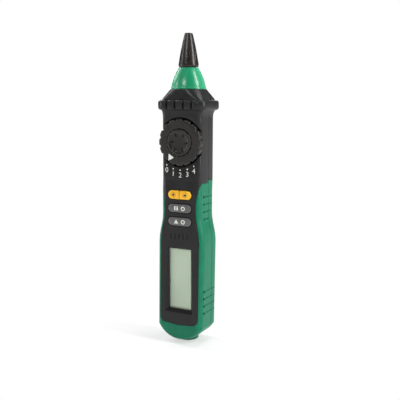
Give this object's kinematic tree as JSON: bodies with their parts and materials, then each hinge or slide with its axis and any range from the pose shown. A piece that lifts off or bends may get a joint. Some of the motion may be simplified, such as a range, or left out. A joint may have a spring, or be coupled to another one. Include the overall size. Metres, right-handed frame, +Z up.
{
  "type": "pen multimeter",
  "caption": "Pen-shaped digital multimeter with a capped nose probe, a side-turned range dial, push keys, a tall display and a jack in its foot.",
  "frame": {"origin": "centre of the jack's mouth, in the flat end face of the boss at the foot", "axes": "+Z runs up to the probe tip, -Y is the front with the display and dial, +X is to the right seen from the front"},
  "size_m": [0.038, 0.0299, 0.22],
  "materials": {
    "black_abs": "fine spark texture, matte",
    "cap_black": "smooth satin",
    "dial_black": "satin moulded",
    "green_grip": "satin soft-touch moulding",
    "green_clear": "translucent gloss",
    "yellow_key": "satin silicone rubber",
    "grey_key": "satin silicone rubber",
    "clear_window": "clear acrylic",
    "lcd": "blank reflective display",
    "print_white": "flat inlay",
    "white_plastic": "moulded",
    "led": "clear epoxy",
    "silicone": "moulded rubber",
    "board": "solder mask",
    "brass": "turned",
    "spring_steel": "nickel plated",
    "fuse_glass": "glass tube with metal ends",
    "cell_jacket": "printed film jacket"
  },
  "bodies": {
    "case": {"front_case": "black_abs", "rear_case": "black_abs", "front_grip": "green_grip", "rear_grip": "green_grip", "light_cone": "green_clear", "probe_needle": "brass", "needle_holder": "white_plastic", "nose_leds": "led", "detent_spring": "spring_steel", "key_mat": "silicone", "window_lens": "clear_window", "lcd_glass": "lcd", "lcd_connector": "silicone", "backlight_panel": "white_plastic", "circuit_board": "board", "board_chips": "cap_black", "buzzer": "cap_black", "fuse": "fuse_glass", "fuse_clips": "spring_steel", "jack_sleeve": "brass", "jack_bush": "black_abs", "jack_contact": "brass", "needle_contact": "brass", "battery_tray": "black_abs", "battery_cells": "cell_jacket", "battery_contacts": "spring_steel", "battery_springs": "spring_steel", "battery_door": "green_grip", "door_screw": "spring_steel", "case_screws": "spring_steel"},
    "range_dial": {"dial": "dial_black", "dial_pointer": "print_white", "contact_rotor": "white_plastic", "wiper_contacts": "brass"},
    "cap": {"probe_cap": "cap_black"},
    "torch_button": {"torch_key": "yellow_key"},
    "backlight_button": {"backlight_key": "yellow_key"},
    "hold_button": {"hold_key": "grey_key"},
    "function_button": {"function_key": "grey_key"}
  },
  "joints": [
    {"name": "dial_turn", "type": "hinge", "parent": "case", "child": "range_dial", "pos_m": [0, 0, 0.1448], "axis": [0, -1, 0], "range_deg": [0, 67.4]},
    {"name": "cap_pull", "type": "slide", "parent": "case", "child": "cap", "axis": [0, 0, 1], "range_m": [0, 0.03]},
    {"name": "torch_press", "type": "slide", "parent": "case", "child": "torch_button", "axis": [0, 1, 0], "range_m": [0, 0.0005], "stiffness_N_per_m": 400},
    {"name": "backlight_press", "type": "slide", "parent": "case", "child": "backlight_button", "axis": [0, 1, 0], "range_m": [0, 0.0005], "stiffness_N_per_m": 400},
    {"name": "hold_press", "type": "slide", "parent": "case", "child": "hold_button", "axis": [0, 1, 0], "range_m": [0, 0.0005], "stiffness_N_per_m": 400},
    {"name": "function_press", "type": "slide", "parent": "case", "child": "function_button", "axis": [0, 1, 0], "range_m": [0, 0.0005], "stiffness_N_per_m": 400}
  ]
}
